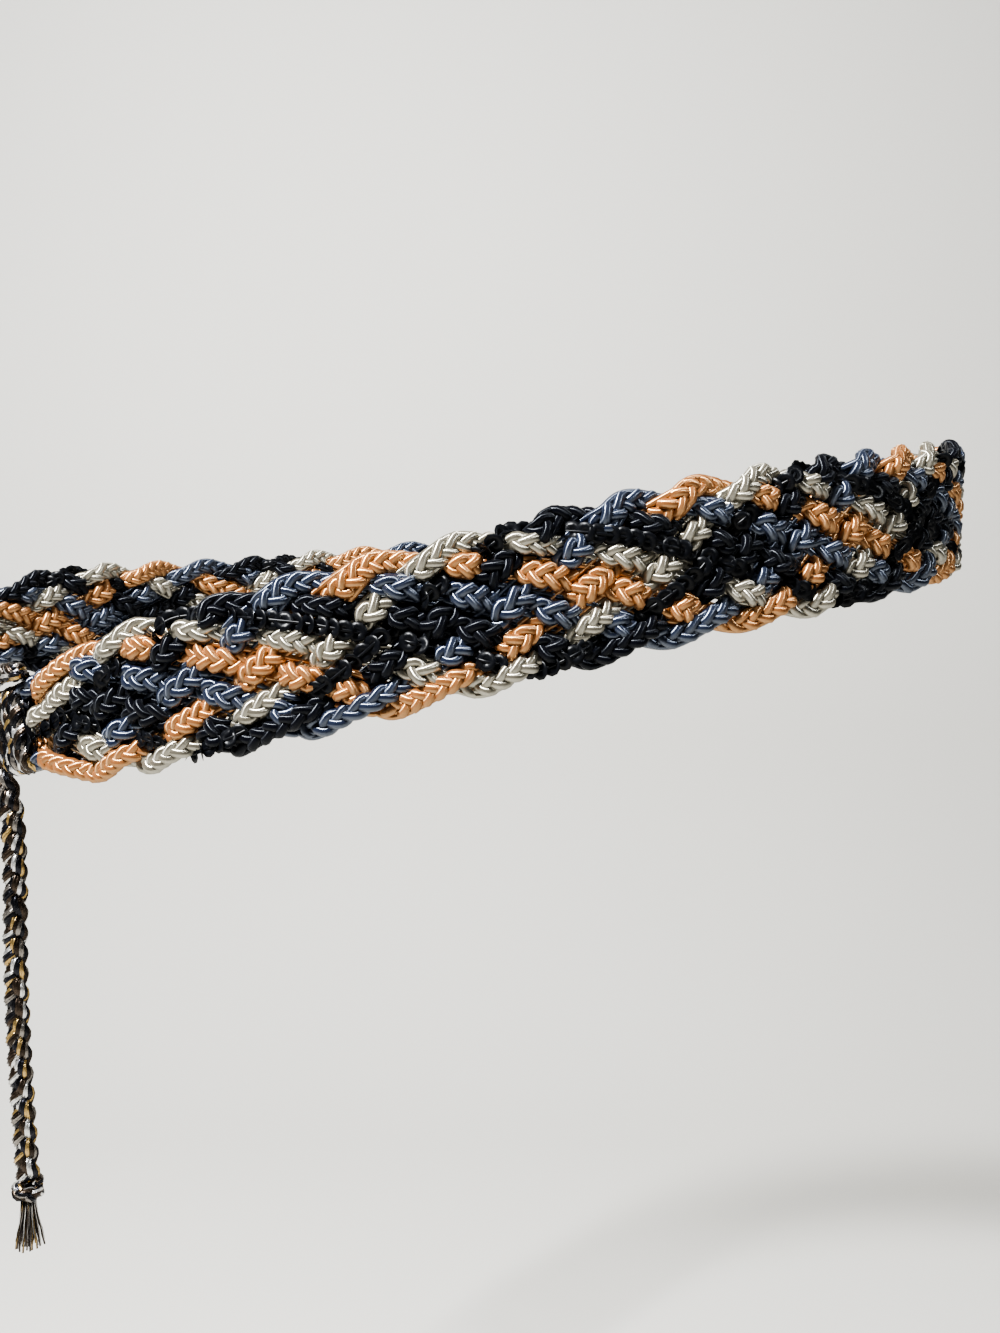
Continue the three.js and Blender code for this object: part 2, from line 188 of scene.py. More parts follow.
def smooth_through(xs, ys, x):
    """A smooth curve through rows of numbers, straight on beyond its ends."""
    x = np.asarray(x, dtype=float)
    last = len(xs) - 1
    before = np.maximum(np.arange(last + 1) - 1, 0)
    after = np.minimum(np.arange(last + 1) + 1, last)
    slope = (ys[after] - ys[before]) / (xs[after] - xs[before])
    i = np.clip(np.searchsorted(xs, x, side="left") - 1, 0, last - 1)
    run = xs[i + 1] - xs[i]
    t = np.clip((x - xs[i]) / run, 0, 1)
    start = (1 + 2 * t) * (1 - t) ** 2 * ys[i] + t * (1 - t) ** 2 * run * slope[i]
    finish = t ** 2 * (3 - 2 * t) * ys[i + 1] + t ** 2 * (t - 1) * run * slope[i + 1]
    beyond = np.minimum(x - xs[0], 0) * slope[0] + np.maximum(x - xs[last], 0) * slope[last]
    return start + finish + beyond


def hip_line():
    """The ellipse's points, and how far along the belt each one is."""
    leave = math.acos(LEAVES_HIP_AT_X / HIP_HALF_WIDTH)
    angles = np.linspace(-leave, leave, 2001)
    points = np.stack([HIP_HALF_WIDTH * np.cos(angles), HIP_HALF_DEPTH * np.sin(angles)], axis=1)
    steps = np.linalg.norm(np.diff(points, axis=0), axis=1)
    return points, FRONT_STRAIGHT + np.concatenate([[0], np.cumsum(steps)])


HIP_POINTS, HIP_ALONG = hip_line()
BELT_LENGTH = HIP_ALONG[-1] + BACK_STRAIGHT


def unit(vectors):
    """The vectors, each with length 1."""
    return vectors / np.linalg.norm(vectors, axis=-1, keepdims=True)


def belt_point(along):
    """Places on the belt's middle line."""
    first = unit(HIP_POINTS[1] - HIP_POINTS[0])
    last = unit(HIP_POINTS[-1] - HIP_POINTS[-2])
    before = np.minimum(along - HIP_ALONG[0], 0)[:, None] * first
    after = np.maximum(along - HIP_ALONG[-1], 0)[:, None] * last
    x = np.interp(along, HIP_ALONG, HIP_POINTS[:, 0])
    y = np.interp(along, HIP_ALONG, HIP_POINTS[:, 1])
    plan = np.stack([x, y], axis=1) + before + after
    return np.column_stack([plan, smooth_through(RISE_ALONG, RISE_HEIGHT, along)])


def belt_frame(along):
    """The belt's places and directions: ahead, up across it, and out from the hips."""
    along = np.atleast_1d(np.asarray(along, dtype=float))
    ahead = unit(belt_point(along + 0.5 * MM) - belt_point(along - 0.5 * MM))
    out = unit(np.column_stack([ahead[:, 1], -ahead[:, 0], np.zeros(len(along))]))
    return belt_point(along), ahead, unit(np.cross(out, ahead)), out


def on_belt(along, up, out):
    """Places given along the belt, up from its middle line and out from its middle surface."""
    origin, _, up_way, out_way = belt_frame(along)
    return origin + up[:, None] * up_way + out[:, None] * out_way


def narrowing(along):
    """How much narrower the plait is close to its bindings."""
    from_end = np.maximum(0, np.minimum(along, BELT_LENGTH - along))
    t = np.minimum(from_end / END_NARROWING_RUN, 1)
    return 1 - END_NARROWING * (1 - t * t * (3 - 2 * t))


def phase_of(index):
    """A strand's place in the repeat that runs along the top edge."""
    repeat, place = divmod(index, len(STRAND_STEPS))
    steps = [step for _, step in STRAND_STEPS]
    return repeat + sum(steps[:place]) / sum(steps)


def top_at(phase):
    """Where along the belt the strand of that phase reaches the top edge."""
    row = min(max(math.floor(phase) - FIRST_REPEAT, 0), len(REPEAT_TOPS) - 2)
    t = phase - FIRST_REPEAT - row
    return REPEAT_TOPS[row] + t * (REPEAT_TOPS[row + 1] - REPEAT_TOPS[row])


def rise_part(index):
    return phase_of(index) * FALL_RUN / SETS


def fall_part(index):
    return top_at(phase_of(index)) - rise_part(index)


def crossing(k, j):
    """Where falling strand k crosses rising strand j, along the belt and up from its middle."""
    share = 1 - (phase_of(j) - phase_of(k)) * 2 / SETS
    rounded = math.sin(0.5 * math.pi * share)
    up = HALF_HEIGHT * (share + EDGE_ROUNDING * (rounded - share))
    along = fall_part(k) + rise_part(j)
    up = up + CORNER_SHIFTS.get((k, j), 0)
    in_middle = (1 - share ** 2) * (1 - BOW_SKEW * share)
    return along + in_middle * float(smooth_through(BOW_ALONG, BOW_AHEAD, along)), up


def over_or_under(pair):
    """Whether the falling strand of a crossing passes over the rising one, as 1 or -1."""
    falling, rising = pair
    over = 1 if (rising - falling) % 2 == 0 else -1
    name = STRAND_STEPS[falling % len(STRAND_STEPS)][0]
    swapped = pair in CORNER_SWAPS or (name, rising - falling) in SEQUINS_ON_TOP
    return -over if swapped else over


def station(pair, falls):
    """A crossing on a strand's way: along, up, layer (-1 to 1), room, and its run's chart key.

    The room is half the width between the strands on both sides of it.
    """
    falling, rising = pair
    falling_way = np.subtract(crossing(falling, rising + 1), crossing(falling, rising - 1))
    rising_way = np.subtract(crossing(falling + 1, rising), crossing(falling - 1, rising))
    way, gap = (falling_way, rising_way) if falls else (rising_way, falling_way)
    way = unit(way)
    room = abs(way[0] * gap[1] - way[1] * gap[0]) / 4
    layer = over_or_under(pair) if falls else -over_or_under(pair)
    return (*crossing(*pair), layer, room, ("fall", falling) if falls else ("rise", rising))


def strand_stations(order):
    """A strand's crossings and its turns at the edges, one after the other."""
    stations = []
    top = order - 2 * STRAND_COUNT
    while not stations or stations[-1][0] < BELT_LENGTH + INTO_BINDING:
        bottom = top + STRAND_COUNT
        stations.append((*crossing(top, top), 0, EDGE_ROOM, ("rise", top)))
        stations += [station((top, i), True) for i in range(top + 1, bottom)]
        stations.append((*crossing(top, bottom), 0, EDGE_ROOM, ("rise", bottom)))
        stations += [station((i, bottom), False) for i in range(top + 1, bottom)]
        top = bottom
    return stations


def spline_through(rows, steps):
    """A smooth line through rows of numbers, with so many steps from each to the next."""
    rows = np.asarray(rows, dtype=float)
    padded_rows = np.vstack([2 * rows[0] - rows[1], rows, 2 * rows[-1] - rows[-2]])
    t = (np.arange(steps) / steps)[None, :, None]
    a, b, c, d = (padded_rows[i:len(padded_rows) - 3 + i][:, None, :] for i in range(4))
    line = 0.5 * (2 * b + (c - a) * t + (2 * a - 5 * b + 4 * c - d) * t ** 2
                  + (3 * b - a - 3 * c + d) * t ** 3)
    return np.vstack([line.reshape(-1, rows.shape[1]), rows[-1]])


def even_steps(points, step, *others):
    """The line's points, and what goes with them, at even steps along it."""
    run = np.concatenate([[0], np.cumsum(np.linalg.norm(np.diff(points, axis=0), axis=1))])
    count = max(int(round(run[-1] / step)), 2)
    at = np.linspace(0, run[-1], count + 1)
    spread = [np.column_stack([np.interp(at, run, column) for column in table.T])
              for table in (points, *others)]
    return (at, *spread)


def wander(at, order, kind):
    """Smooth uneven numbers along a strand, from a few waves with seeded starts."""
    seed, reach, wave = kind
    starts = np.random.default_rng(seed + order).uniform(0, TURN, 4)
    lengths = wave * np.array([1, 0.61, 0.37, 0.23])
    sizes = reach * np.array([0.5, 0.35, 0.25, 0.15])
    return sum(size * np.sin(TURN * at / length + start)
               for size, length, start in zip(sizes, lengths, starts))


# The least and the most that a strand spreads to fill its room, as shares of its usual width
NARROWEST = 0.8
WIDEST = 1.14

# How unevenly the strands lie: the first strand's seed, how much, and the length of the waves
WANDER_ACROSS = (10, 0.4 * MM, 0.09)
WANDER_TURNED = (30, 0.14, 0.05)
WANDER_IN_LENGTH = (50, 0.22, 0.1)
WANDER_IN_WIDTH = (70, 0.06, 0.04)

# Points of a strand's line from each crossing to the next, and how far the line is worked out
# past the belt's ends
LINE_STEPS = 16
LINE_MARGIN = 60 * MM

# How many sides each satin cord has
CORD_SIDES = 8

# The cords pressed flat in the middle of the belt, which close the gaps between the strands
INNER_CORDS = 5
INNER_SIDES = 6
INNER_RADIUS = 1.2 * MM
INNER_DEPTH = 0.3 * MM
INNER_REACH = 1.15
INNER_EDGE_REACH = 0.95
INNER_FLAT_TO = 0.5
INNER_BRAIDED_FROM = 0.88

# How long a cord's way from side to side is in each colour's braid, as a share of the usual
PLY_LENGTH_SHARES = {"ivory": 0.94, "peach": 0.8, "navy": 1.0, "black": 1.0}

# Which way the small braids' chevrons point. Each strand was plaited by hand, and some of
# them were turned over on the way. Runs that aren't named here open towards the tie.
CHEVRONS_TURNED = {("fall", -3), ("fall", -1), ("fall", 7), ("rise", 7), ("rise", 9)}


def new_object(name, data):
    """An object in the scene, with the data."""
    made = bpy.data.objects.new(name, data)
    bpy.context.scene.collection.objects.link(made)
    return made


def carry(mesh, name, values):
    """Lets the mesh carry a number or direction for each of its points."""
    values = np.asarray(values, dtype=float)
    if values.ndim == 2:
        mesh.attributes.new(name, "FLOAT_VECTOR", "POINT").data.foreach_set("vector", values.ravel())
    else:
        mesh.attributes.new(name, "FLOAT", "POINT").data.foreach_set("value", values)


def line_object(name, points, **attributes):
    """A line of mesh edges that carries numbers or directions for each of its points."""
    mesh = bpy.data.meshes.new(name)
    mesh.from_pydata([tuple(p) for p in points], [(i, i + 1) for i in range(len(points) - 1)], [])
    for key, values in attributes.items():
        carry(mesh, key, values)
    return new_object(name, mesh)


def directions_along(points, out_hint):
    """Each point's direction across the line and out from it, from a rough way out."""
    ahead = unit(np.gradient(points, axis=0))
    out = unit(out_hint - np.sum(out_hint * ahead, axis=1, keepdims=True) * ahead)
    return np.cross(out, ahead), out


def carried_directions(points, first_out):
    """Directions that turn as little as they can along a line."""
    ahead = unit(np.gradient(points, axis=0))
    outs = [np.asarray(first_out, dtype=float)]
    for way in ahead:
        out = outs[-1] - np.dot(outs[-1], way) * way
        outs.append(out / np.linalg.norm(out))
    out = np.array(outs[1:])
    return np.cross(out, ahead), out


def turned_about(side, out, angle):
    """The two directions, turned about the line by an angle at each point."""
    c = np.cos(angle)[:, None]
    s = np.sin(angle)[:, None]
    return c * side + s * out, c * out - s * side


# Node trees

# How much a plait's cords stay level where they lie over the others, and run straight from
# side to side
LEVELLING = 0.12
STRAIGHTENING = 0.09


class Nodes:
    """Adds nodes to a tree. A node that is given as a value stands for its first output."""

    def __init__(self, tree):
        self.tree = tree

    def link(self, value, socket):
        """Links a value to a socket, or sets the socket to it."""
        if isinstance(value, bpy.types.Node):
            value = value.outputs[0]
        if isinstance(value, bpy.types.NodeSocket):
            self.tree.links.new(value, socket)
        else:
            socket.default_value = value

    def fill(self, node, inputs):
        """Links or sets the node's inputs, by name or place."""
        for key, value in inputs.items():
            self.link(value, node.inputs[key])
        return node

    def add(self, kind, inputs=None, **settings):
        """A node with its settings and inputs."""
        node = self.tree.nodes.new(kind)
        for key, value in settings.items():
            setattr(node, key, value)
        return self.fill(node, inputs or {})

    def math(self, operation, *values):
        """One step of maths on numbers."""
        return self.add("ShaderNodeMath", dict(enumerate(values)), operation=operation)

    def plus(self, total, *others):
        """Numbers added up."""
        for other in others:
            total = self.math("ADD", total, other)
        return total

    def times(self, product, *others):
        """Numbers multiplied."""
        for other in others:
            product = self.math("MULTIPLY", product, other)
        return product

    def scaled(self, vector, factor):
        """A direction times a number."""
        return self.add("ShaderNodeVectorMath", {0: vector, "Scale": factor}, operation="SCALE")

    def both(self, one, other):
        """Two directions added up."""
        return self.add("ShaderNodeVectorMath", {0: one, 1: other}, operation="ADD")

    def carried(self, name, data_type="FLOAT"):
        """What a line carries at each point."""
        node = self.add("GeometryNodeInputNamedAttribute", {"Name": name}, data_type=data_type)
        return node.outputs["Attribute"]

    def capture(self, geometry, name, value, data_type="FLOAT"):
        """A geometry that keeps a number or direction for later, and that value."""
        node = self.add("GeometryNodeCaptureAttribute", domain="POINT")
        node.capture_items.new(data_type, name)
        self.fill(node, {"Geometry": geometry, name: value})
        return node.outputs["Geometry"], node.outputs[name]

    def store(self, geometry, name, value, data_type="FLOAT_VECTOR"):
        """A mesh that carries a value under a name."""
        inputs = {"Geometry": geometry, "Name": name, "Value": value}
        return self.add("GeometryNodeStoreNamedAttribute", inputs, data_type=data_type, domain="POINT")

    def tube(self, curve, profile):
        """A solid tube along a curve."""
        inputs = {"Curve": curve, "Profile Curve": profile, "Fill Caps": True}
        return self.add("GeometryNodeCurveToMesh", inputs)

    def circle(self, sides, radius):
        """A round section with so many sides."""
        inputs = {"Resolution": sides, "Radius": radius}
        return self.add("GeometryNodeCurvePrimitiveCircle", inputs, mode="RADIUS")


def new_tree(name, sockets):
    """The nodes of a new geometry tree with named inputs of each type, and what it is given."""
    tree = bpy.data.node_groups.new(name, "GeometryNodeTree")
    tree.interface.new_socket("Geometry", in_out="INPUT", socket_type="NodeSocketGeometry")
    for kind, labels in sockets.items():
        for label in labels:
            tree.interface.new_socket(label, in_out="INPUT", socket_type=f"NodeSocket{kind}")
    tree.interface.new_socket("Geometry", in_out="OUTPUT", socket_type="NodeSocketGeometry")
    return Nodes(tree), tree.nodes.new("NodeGroupInput").outputs


def finish_tree(nodes, geometry, material):
    """Ends a tree as real faces of one material."""
    smooth = nodes.add("GeometryNodeSetShadeSmooth", {"Geometry": geometry})
    real = nodes.add("GeometryNodeRealizeInstances", {"Geometry": smooth})
    painted = nodes.add("GeometryNodeSetMaterial", {"Geometry": real, "Material": material})
    nodes.add("NodeGroupOutput", {"Geometry": painted})
    return nodes.tree


def plait_tree():
    """Cords plaited along a line: each one swings across it and passes over and under."""
    nodes, given = new_tree("Plait Along Line", {
        "Int": ("Plies", "Cord Sides"),
        "Float": ("Half Width", "Half Depth", "Cord Radius", "Yarns", "Yarn Depth", "Yarn Twist"),
        "Material": ("Material",),
    })
    curve = nodes.add("GeometryNodeMeshToCurve", {"Mesh": given["Geometry"]})
    copies = nodes.add(
        "GeometryNodeDuplicateElements", {"Geometry": curve, "Amount": given["Plies"]}, domain="SPLINE")
    placed, ply = nodes.capture(copies, "Ply", copies.outputs["Duplicate Index"])
    share = nodes.math("DIVIDE", nodes.times(ply, TURN), given["Plies"])
    angle = nodes.plus(nodes.carried("swing"), share)
    corner = nodes.math("SINE", nodes.times(angle, 3.0))
    across = nodes.math("SUBTRACT", nodes.math("SINE", angle), nodes.times(corner, STRAIGHTENING))
    across = nodes.times(across, given["Half Width"], nodes.carried("pinch"))
    lift = nodes.math("SINE", nodes.times(angle, 2.0))
    ripple = nodes.math("SINE", nodes.times(angle, 6.0))
    lift = nodes.plus(lift, nodes.times(ripple, LEVELLING))
    lift = nodes.times(lift, given["Half Depth"], nodes.carried("chevron"))
    sideways = nodes.scaled(nodes.carried("side", "FLOAT_VECTOR"), across)
    outwards = nodes.scaled(nodes.carried("out", "FLOAT_VECTOR"), lift)
    offset = nodes.both(sideways, outwards)
    moved = nodes.add("GeometryNodeSetPosition", {"Geometry": placed, "Offset": offset})
    length = nodes.add("GeometryNodeSplineParameter").outputs["Length"]
    kept, along = nodes.capture(moved, "Along", length)
    kept, grain = nodes.capture(kept, "Grain", nodes.add("GeometryNodeInputTangent"), "VECTOR")
    sized = nodes.add("GeometryNodeSetCurveRadius", {"Curve": kept, "Radius": nodes.carried("girth")})
    twist = nodes.times(along, given["Yarn Twist"])
    tilted = nodes.add("GeometryNodeSetCurveTilt", {"Curve": sized, "Tilt": twist})
    factor = nodes.add("GeometryNodeSplineParameter").outputs["Factor"]
    around = nodes.times(factor, TURN)
    ring = nodes.circle(given["Cord Sides"], given["Cord Radius"])
    ring, cosine = nodes.capture(ring, "Cosine", nodes.math("COSINE", around))
    ring, sine = nodes.capture(ring, "Sine", nodes.math("SINE", around))
    lobe = nodes.math("COSINE", nodes.times(around, given["Yarns"]))
    swell = nodes.plus(nodes.times(lobe, given["Yarn Depth"]), 1.0)
    place = nodes.scaled(nodes.add("GeometryNodeInputPosition"), swell)
    fluted = nodes.add("GeometryNodeSetPosition", {"Geometry": ring, "Position": place})
    fibre = nodes.add("ShaderNodeCombineXYZ", {"X": along, "Y": cosine, "Z": sine})
    stored = nodes.store(nodes.tube(tilted, fluted), "fibre", fibre)
    stored = nodes.store(stored, "ply", ply, "FLOAT")
    stored = nodes.store(stored, "grain", grain)
    return finish_tree(nodes, stored, given["Material"])


def sequin_tree():
    """Sequins on a thread, each leaning on the next like scales, with a seeded unevenness."""
    nodes, given = new_tree("Sequins Along Line", {
        "Object": ("Sequin",),
        "Float": ("Spacing", "Lean", "Unevenness", "Thread Radius"),
        "Int": ("Seed",),
        "Material": ("Material",),
    })
    curve = nodes.add("GeometryNodeMeshToCurve", {"Mesh": given["Geometry"]})
    places = nodes.add(
        "GeometryNodeResampleCurve", {"Curve": curve, "Length": given["Spacing"]}, mode="LENGTH")
    face_out = nodes.add(
        "FunctionNodeAlignRotationToVector", {"Vector": nodes.carried("out", "FLOAT_VECTOR")},
        axis="Z", pivot_axis="AUTO")
    face_along = nodes.add(
        "FunctionNodeAlignRotationToVector",
        {"Rotation": face_out, "Vector": nodes.add("GeometryNodeInputTangent")},
        axis="X", pivot_axis="Z")
    low = nodes.scaled((-1.0, -1.0, -1.0), given["Unevenness"])
    high = nodes.scaled((1.0, 1.0, 1.0), given["Unevenness"])
    uneven = nodes.add(
        "FunctionNodeRandomValue", {"Min": low, "Max": high, "Seed": given["Seed"]},
        data_type="FLOAT_VECTOR")
    turns = nodes.both(uneven, nodes.add("ShaderNodeCombineXYZ", {"Y": given["Lean"]}))
    turned = nodes.add("FunctionNodeEulerToRotation", {"Euler": turns})
    rotation = nodes.add(
        "FunctionNodeRotateRotation", {"Rotation": face_along, "Rotate By": turned},
        rotation_space="LOCAL")
    sequin = nodes.add("GeometryNodeObjectInfo", {"Object": given["Sequin"]}).outputs["Geometry"]
    sequins = nodes.add(
        "GeometryNodeInstanceOnPoints", {"Points": places, "Instance": sequin, "Rotation": rotation})
    thread = nodes.tube(curve, nodes.circle(5, given["Thread Radius"]))
    joined = nodes.add("GeometryNodeJoinGeometry", {0: sequins})
    return finish_tree(nodes, nodes.fill(joined, {0: thread}), given["Material"])


def tree_named(name, maker):
    """The tree of that name, made the first time it is asked for."""
    return bpy.data.node_groups.get(name) or maker()


# What a piece's mesh still carries when it is done
KEPT_ATTRIBUTES = {"position", "fibre", "grain", "ply", "sharp_face", "material_index"}


def made_mesh(line, tree, values, name):
    """The line with the tree run on it, as a plain mesh of its own."""
    modifier = line.modifiers.new(tree.name, "NODES")
    modifier.node_group = tree
    for item in tree.interface.items_tree:
        if item.item_type == "SOCKET" and item.in_out == "INPUT" and item.name in values:
            modifier[item.identifier] = values[item.name]
    line.update_tag()
    evaluated = line.evaluated_get(bpy.context.evaluated_depsgraph_get())
    mesh = bpy.data.meshes.new_from_object(evaluated)
    bpy.data.objects.remove(line)
    mesh.name = name
    for key in [a.name for a in mesh.attributes if not a.name.startswith(".")]:
        if key not in KEPT_ATTRIBUTES:
            mesh.attributes.remove(mesh.attributes[key])
    return new_object(name, mesh)


def joined_piece(pieces, name):
    """Several pieces as one."""
    target = pieces[0]
    with bpy.context.temp_override(
            active_object=target, object=target, selected_objects=pieces,
            selected_editable_objects=pieces):
        bpy.ops.object.join()
    target.name = name
    target.data.name = name
    return target


def settle(piece, node):
    """The piece stands for its node and rides with the belt."""
    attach(piece, "root")
    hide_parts(node)


def ring_solid(name, rings, material=None, caps=True):
    """A closed solid through rings of points, with caps, or without them closed on itself."""
    bm = bmesh.new()
    made = [[bm.verts.new(tuple(p)) for p in ring] for ring in rings]
    if caps:
        bm.faces.new(made[0])
        bm.faces.new(made[-1])
    else:
        made.append(made[0])
    for lower, upper in zip(made, made[1:]):
        for i in range(len(lower)):
            j = (i + 1) % len(lower)
            bm.faces.new((lower[i], lower[j], upper[j], upper[i]))
    bmesh.ops.recalc_face_normals(bm, faces=bm.faces)
    for face in bm.faces:
        face.smooth = True
    mesh = bpy.data.meshes.new(name)
    bm.to_mesh(mesh)
    bm.free()
    if material:
        mesh.materials.append(material)
    return new_object(name, mesh)


# Materials

# The threads wound round each satin cord
RIB_PITCH = 0.6 * MM
RIB_HEIGHT = 0.02 * MM


def new_material(name):
    """A material, its nodes and its shader."""
    material = bpy.data.materials.new(name)
    material.use_nodes = True
    return material, Nodes(material.node_tree), material.node_tree.nodes["Principled BSDF"]


def attribute(nodes, name, output="Vector"):
    """What the mesh carries under a name."""
    return nodes.add("ShaderNodeAttribute", attribute_name=name).outputs[output]


def noise(nodes, place, scale, detail, **others):
    """Uneven numbers, cloudy over the places."""
    inputs = {"Vector": place, "Scale": scale, "Detail": detail, **others}
    return nodes.add("ShaderNodeTexNoise", inputs)


def fibre_noise(nodes, fibre, along, round_it, detail, **others):
    """Noise on a cord, with one scale along it and another round it."""
    stretched = nodes.add(
        "ShaderNodeMapping", {"Vector": fibre, "Scale": (along, round_it, round_it)})
    return noise(nodes, stretched, 1.0, detail, **others)


def colour_ramp(nodes, factor, stops):
    """A colour for a number, from stops with a place and a colour each."""
    ramp = nodes.add("ShaderNodeValToRGB", {"Fac": factor})
    elements = ramp.color_ramp.elements
    while len(elements) < len(stops):
        elements.new(0.5)
    for element, (position, colour) in zip(elements, stops):
        element.position = position
        element.color = (*colour, 1)
    return ramp


def in_range(nodes, value, low, high):
    """A number from 0 to 1, moved to between two others."""
    return nodes.add("ShaderNodeMapRange", {"Value": value, "To Min": low, "To Max": high})


def relief(nodes, height, strength, distance):
    """Small bumps on the surface."""
    inputs = {"Height": height, "Strength": strength, "Distance": distance}
    return nodes.add("ShaderNodeBump", inputs)


def fibre_place(nodes):
    """Where on a cord a point is: its coordinates, how far along, and its angle round it."""
    fibre = attribute(nodes, "fibre")
    parts = nodes.add("ShaderNodeSeparateXYZ", {"Vector": fibre}).outputs
    return fibre, parts["X"], nodes.math("ARCTAN2", parts["Z"], parts["Y"])


def satin_material(name, colour, dark, glow, gloss):
    """Satin cord: fine shiny threads wound round it, a little uneven in colour."""
    material, nodes, shader = new_material(name)
    fibre, along, angle = fibre_place(nodes)
    threads = fibre_noise(nodes, fibre, 700.0, 1.2, 3.0, Roughness=0.6)
    wound = nodes.plus(nodes.times(along, TURN / RIB_PITCH), angle, nodes.times(threads, 3.0))
    patches = fibre_noise(nodes, fibre, 90.0, 0.6, 2.0)
    mixed = nodes.plus(nodes.times(threads, 0.6), nodes.times(patches, 0.4))
    height = nodes.plus(nodes.math("SINE", wound), nodes.times(threads, 2.0))
    nodes.fill(shader, {
        "Base Color": colour_ramp(nodes, mixed, ((0.34, [dark * c for c in colour]), (0.62, colour))),
        "Roughness": in_range(nodes, threads, 0.25, 0.38),
        "Normal": relief(nodes, height, 0.5, RIB_HEIGHT),
        "Tangent": attribute(nodes, "grain"),
        "Anisotropic": 1.0,
        "IOR": 2.2,
        "Specular IOR Level": gloss,
        "Specular Tint": (*glow, 1),
        "Sheen Weight": 0.04,
        "Sheen Roughness": 0.4,
        "Sheen Tint": (*glow, 1),
    })
    return material


def sequin_material():
    """Glossy black sequins, with faint cloudy marks in the gloss."""
    material, nodes, shader = new_material("Black Sequin")
    cloud = noise(nodes, nodes.add("ShaderNodeTexCoord").outputs["Object"], 420.0, 2.0)
    stops = ((0.0, (0.0012, 0.0012, 0.0015)), (1.0, (0.003, 0.0035, 0.005)))
    nodes.fill(shader, {
        "Base Color": colour_ramp(nodes, cloud, stops),
        "Roughness": in_range(nodes, cloud, 0.24, 0.46),
        "Specular IOR Level": 0.14,
    })
    return material


# The colours of the metallic yarns, and where each begins round a ply
YARN_COLOURS = (
    (0.0, (0.015, 0.015, 0.018)),
    (0.16, (0.22, 0.2, 0.18)),
    (0.28, (0.03, 0.022, 0.016)),
    (0.42, (0.44, 0.3, 0.12)),
    (0.52, (0.02, 0.02, 0.025)),
    (0.68, (0.64, 0.63, 0.61)),
    (0.8, (0.05, 0.036, 0.026)),
)


def metallic_material():
    """Metallic yarns twisted together: black, silver, gold and grey ones side by side."""
    material, nodes, shader = new_material("Metallic Braid")
    fibre, along, angle = fibre_place(nodes)
    ply = attribute(nodes, "ply", "Fac")
    share = nodes.plus(nodes.math("DIVIDE", angle, TURN), 0.5)
    at = nodes.plus(nodes.times(along, 30.0), nodes.times(ply, 7.3))
    drift = nodes.add(
        "ShaderNodeTexNoise", {"W": at, "Scale": 1.0, "Detail": 1.0}, noise_dimensions="1D")
    pick = nodes.plus(share, nodes.times(drift, 1.2), nodes.times(ply, 0.37))
    ramp = colour_ramp(nodes, nodes.math("FRACT", pick), YARN_COLOURS)
    ramp.color_ramp.interpolation = "CONSTANT"
    glint = fibre_noise(nodes, fibre, 1600.0, 3.0, 3.0)
    nodes.fill(shader, {
        "Base Color": ramp,
        "Roughness": in_range(nodes, glint, 0.16, 0.4),
        "Normal": relief(nodes, glint, 0.7, 0.3 * MM),
        "Metallic": 0.9,
    })
    return material


def stage_material(name, colour):
    """A plain matt surface with a faint unevenness."""
    material, nodes, shader = new_material(name)
    cloud = noise(nodes, nodes.add("ShaderNodeTexCoord").outputs["Object"], 3.0, 3.0)
    stops = ((0.0, [0.96 * c for c in colour]), (1.0, colour))
    nodes.fill(shader, {"Base Color": colour_ramp(nodes, cloud, stops), "Roughness": 0.9})
    return material


# Settings

def length_setting(label, default, text):
    return bpy.props.FloatProperty(name=label, default=default, min=0.0, precision=5,
                                   subtype="DISTANCE", unit="LENGTH", description=text)


def power_setting(label, default, text):
    return bpy.props.FloatProperty(name=label, default=default, min=0.0, unit="POWER",
                                   description=text)


def colour_setting(label, default, text):
    return bpy.props.FloatVectorProperty(name=label, default=default, size=3, min=0.0, max=1.0,
                                         subtype="COLOR", description=text)


class BeltPlaitSettings(bpy.types.PropertyGroup):
    half_width: length_setting("Half Width", 2.25 * MM, "How far each cord swings to the side of its strand")
    half_depth: length_setting("Half Depth", 1.1 * MM, "How far each cord lifts over the others")
    cord_radius: length_setting("Cord Radius", 1.75 * MM, "Half the thickness of the satin cord")
    ply_length: length_setting("Ply Length", 17 * MM, "Length of a cord's way to the other side and back")
    step: length_setting("Step", 0.85 * MM, "Distance between the places a cord is worked out at")


class BeltSequinSettings(bpy.types.PropertyGroup):
    radius: length_setting("Radius", 3.3 * MM, "Half the width of a sequin")
    spacing: length_setting("Spacing", 4.0 * MM, "Distance from one sequin to the next on the thread")
    lean: bpy.props.FloatProperty(
        name="Lean", default=math.radians(-16), subtype="ANGLE", unit="ROTATION",
        description="How far each sequin leans onto the next")
    seed: bpy.props.IntProperty(name="Seed", default=4, min=0, description="Start of the uneven turns")


class BeltTieSettings(bpy.types.PropertyGroup):
    half_width: length_setting("Half Width", 1.8 * MM, "How far each ply swings to the side of the tie")
    half_depth: length_setting("Half Depth", 1.5 * MM, "How far each ply lifts over the others")
    ply_radius: length_setting("Ply Radius", 2.8 * MM, "Half the thickness of a ply of metallic yarns")
    ply_length: length_setting("Ply Length", 26 * MM, "Length of a ply's way to the other side and back")
    yarns: bpy.props.IntProperty(name="Yarns", default=11, min=1, description="Yarns in each ply")


